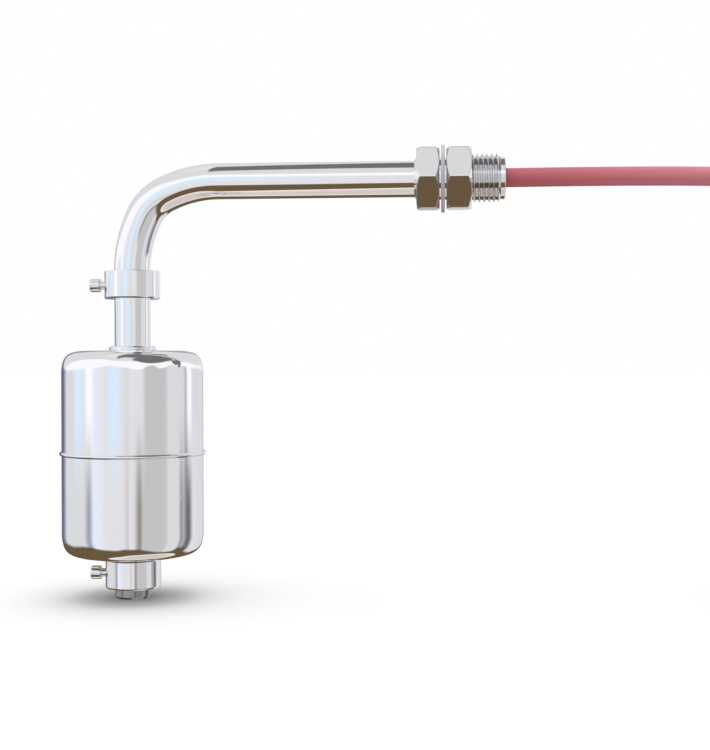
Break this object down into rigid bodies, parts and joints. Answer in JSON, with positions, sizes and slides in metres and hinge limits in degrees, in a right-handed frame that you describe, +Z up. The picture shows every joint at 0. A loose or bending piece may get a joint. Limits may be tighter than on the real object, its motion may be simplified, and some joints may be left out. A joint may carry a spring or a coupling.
{
  "type": "float level switch",
  "caption": "Bent steel tube with a round steel float held between clamped stop collars, a hexagonal threaded fitting with lock nut and soft washer, and a flexible red lead.",
  "frame": {"origin": "centre of the fixed hexagon's sealing face, where it meets the tank wall's gasket", "axes": "+X out along the threaded nipple and the lead, +Z up, the stem hangs along -Z, Y is the thinnest way through"},
  "size_m": [0.4985, 0.11, 0.2397],
  "materials": {
    "polished_steel": "mirror polished stainless steel",
    "machined_steel": "fine turned, bright",
    "screw_steel": "bright, slightly worn",
    "gasket_rubber": "matte, lilac grey",
    "red_silicone": "soft satin, slightly translucent",
    "ferrite": "matte, sintered",
    "reed_glass": "clear, pale green",
    "contact_metal": "bright plated",
    "board_laminate": "satin laminate",
    "solder": "dull bright",
    "wire_white": "satin",
    "wire_black": "satin",
    "resin_black": "satin, self levelled",
    "copper": "bright, drawn",
    "tie_white": "satin"
  },
  "bodies": {
    "stem": {"stem_tube": "polished_steel", "end_plug": "polished_steel", "tank_fitting": "machined_steel", "wall_gasket": "gasket_rubber", "reed_capsule": "reed_glass", "reed_blade_upper": "contact_metal", "reed_blade_lower": "contact_metal", "reed_board": "board_laminate", "solder_joints": "solder", "lead_wire_1": "wire_white", "lead_wire_2": "wire_black", "cable_potting": "resin_black", "cable": "red_silicone", "cable_coil": "red_silicone", "coil_tie": "tie_white", "cable_core_1": "wire_white", "cable_core_2": "wire_black", "core_tip_1": "copper", "core_tip_2": "copper"},
    "lock_nut": {"lock_nut": "machined_steel"},
    "upper_collar": {"upper_stop_collar": "polished_steel"},
    "upper_screw": {"upper_clamp_screw": "screw_steel"},
    "lower_collar": {"lower_stop_collar": "polished_steel"},
    "lower_screw": {"lower_clamp_screw": "screw_steel"},
    "magnet": {"ring_magnet": "ferrite"},
    "float": {"float_upper_shell": "polished_steel", "float_lower_shell": "polished_steel", "float_guide_tube": "polished_steel", "magnet_clip_upper": "machined_steel", "magnet_clip_lower": "machined_steel"}
  },
  "joints": [
    {"name": "float_slide", "type": "slide", "parent": "stem", "child": "magnet", "axis": [0, 0, 1], "range_m": [0, 0.025]},
    {"name": "float_spin", "type": "hinge", "parent": "magnet", "child": "float", "pos_m": [-0.1641, 0, -0.1446], "axis": [0, 0, 1], "continuous": true},
    {"name": "lock_nut_slide", "type": "slide", "parent": "stem", "child": "lock_nut", "axis": [1, 0, 0], "range_m": [0, 0.0145]},
    {"name": "upper_collar_slide", "type": "slide", "parent": "stem", "child": "upper_collar", "axis": [0, 0, 1], "range_m": [-0.01, 0]},
    {"name": "lower_collar_slide", "type": "slide", "parent": "stem", "child": "lower_collar", "axis": [0, 0, 1], "range_m": [-0.004, 0]},
    {"name": "upper_screw_turn", "type": "hinge", "parent": "upper_collar", "child": "upper_screw", "pos_m": [-0.1845, 0, -0.055], "axis": [-1, 0, 0], "range_deg": [0, 720]},
    {"name": "lower_screw_turn", "type": "hinge", "parent": "lower_collar", "child": "lower_screw", "pos_m": [-0.1845, 0, -0.209], "axis": [-1, 0, 0], "range_deg": [0, 720]}
  ]
}
